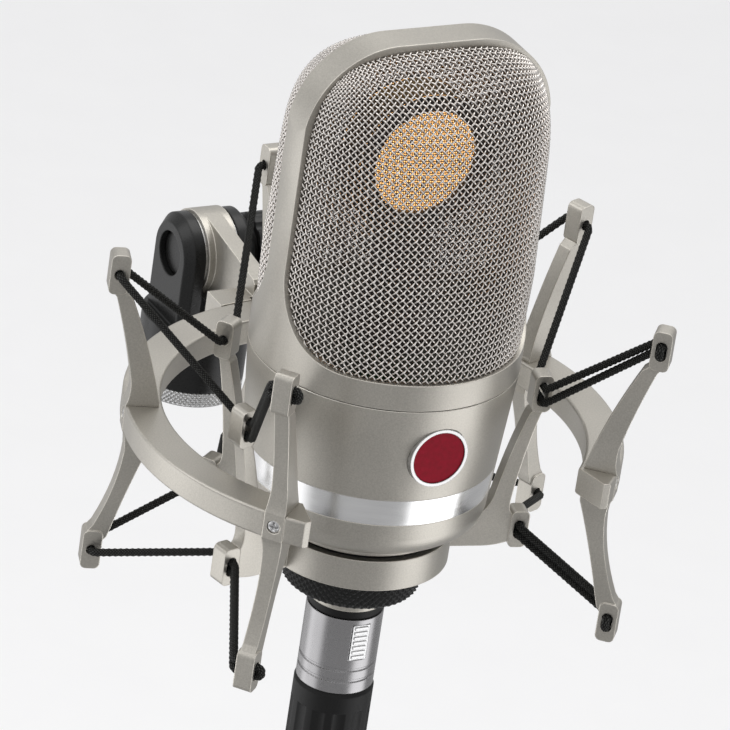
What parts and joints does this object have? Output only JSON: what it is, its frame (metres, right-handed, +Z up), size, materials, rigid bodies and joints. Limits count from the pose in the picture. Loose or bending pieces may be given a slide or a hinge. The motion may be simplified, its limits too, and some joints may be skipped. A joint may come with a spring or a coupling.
{
  "type": "condenser microphone",
  "caption": "Large side-address condenser microphone held by elastic cords in an open ring cage, with a tilting stand swivel and a cable plug.",
  "frame": {"origin": "centre of the stand socket's mouth, on the stand's axis", "axes": "+Z up the stand and parallel to the microphone's axis, -Y towards the microphone's front, +X to the right seen from the front"},
  "size_m": [0.1272, 0.1498, 0.198],
  "materials": {
    "satin_nickel": "fine-grained satin metallic paint",
    "mesh_wire": "bright woven wire",
    "inner_mesh": "dark fine woven wire",
    "brass": "machined",
    "gold_film": "gold-coated film",
    "black_plastic": "moulded",
    "rubber": "moulded rubber",
    "steel": "plated steel",
    "chrome": "polished",
    "red_enamel": "glossy enamel",
    "circuit_board": "solder mask",
    "component_body": "dipped capacitors",
    "lead_sleeve": "insulated wire",
    "aluminium": "milled",
    "gold_contact": "gold-plated",
    "black_metal": "black satin",
    "cord": "braided elastic cord",
    "plug_nickel": "satin nickel"
  },
  "bodies": {
    "stand_yoke": {"swivel_yoke": "black_metal", "thread_adapter": "steel", "pivot_bolt": "black_metal", "friction_washers": "steel"},
    "lock_knob": {"lock_knob": "black_plastic"},
    "cage": {"outer_ring": "satin_nickel", "cage_arm_front_left": "satin_nickel", "cage_arm_front_right": "satin_nickel", "cage_arm_side_left": "satin_nickel", "cage_arm_side_right": "satin_nickel", "cage_arm_rear": "satin_nickel", "cage_arm_screws": "steel", "swivel_bracket": "satin_nickel", "bracket_screws": "steel", "upper_cord": "cord", "lower_cord": "cord"},
    "cradle": {"cradle": "satin_nickel", "cradle_pad": "rubber", "clamp_washer": "rubber"},
    "clamp_nut": {"clamp_nut": "black_metal"},
    "microphone": {"head_frame": "satin_nickel", "front_grille": "mesh_wire", "rear_grille": "mesh_wire", "front_screen": "inner_mesh", "rear_screen": "inner_mesh", "capsule_body": "brass", "front_diaphragm": "gold_film", "rear_diaphragm": "gold_film", "front_clamp_ring": "black_plastic", "rear_clamp_ring": "black_plastic", "capsule_screws": "steel", "capsule_saddle": "black_plastic", "saddle_rubber": "rubber", "saddle_screws": "steel", "capsule_leads": "lead_sleeve", "deck_plate": "circuit_board", "deck_screws": "steel", "body_shell": "satin_nickel", "chrome_band": "chrome", "badge_rim": "steel", "badge_enamel": "red_enamel", "button_bezel": "steel", "pattern_switch": "black_plastic", "amplifier_board": "circuit_board", "board_components": "component_body", "chassis_rails": "aluminium", "base_plate": "satin_nickel", "base_screws": "steel", "xlr_insert": "black_plastic", "xlr_pins": "gold_contact"},
    "pattern_button": {"pattern_button": "black_plastic"},
    "plug": {"plug_shell": "plug_nickel", "plug_gasket": "rubber", "plug_insert": "black_plastic", "plug_contacts": "gold_contact", "plug_chuck": "black_plastic", "plug_boot": "rubber"},
    "plug_latch": {"plug_latch": "steel"}
  },
  "joints": [
    {"name": "swivel_tilt", "type": "hinge", "parent": "stand_yoke", "child": "cage", "pos_m": [0, 0, 0.037], "axis": [1, 0, 0], "range_deg": [-90, 20]},
    {"name": "lock_knob_turn", "type": "hinge", "parent": "stand_yoke", "child": "lock_knob", "pos_m": [0.01, 0, 0.037], "axis": [1, 0, 0], "continuous": true},
    {"name": "cradle_float", "type": "slide", "parent": "cage", "child": "cradle", "axis": [0, 0, 1], "range_m": [-0.003, 0.003], "stiffness_N_per_m": 2500, "springref_m": 0.0024, "deforming": ["upper_cord", "lower_cord"]},
    {"name": "clamp_nut_turn", "type": "hinge", "parent": "cradle", "child": "clamp_nut", "pos_m": [0, -0.091, 0], "axis": [0, 0, 1], "continuous": true},
    {"name": "microphone_lift", "type": "slide", "parent": "cradle", "child": "microphone", "axis": [0, 0, 1], "range_m": [0, 0.06]},
    {"name": "pattern_button_press", "type": "slide", "parent": "microphone", "child": "pattern_button", "axis": [0, -1, 0], "range_m": [0, 0.0006]},
    {"name": "plug_pull", "type": "slide", "parent": "microphone", "child": "plug", "axis": [0, 0, -1], "range_m": [0, 0.03]},
    {"name": "plug_latch_press", "type": "slide", "parent": "plug", "child": "plug_latch", "axis": [0, 1, 0], "range_m": [0, 0.001]}
  ]
}
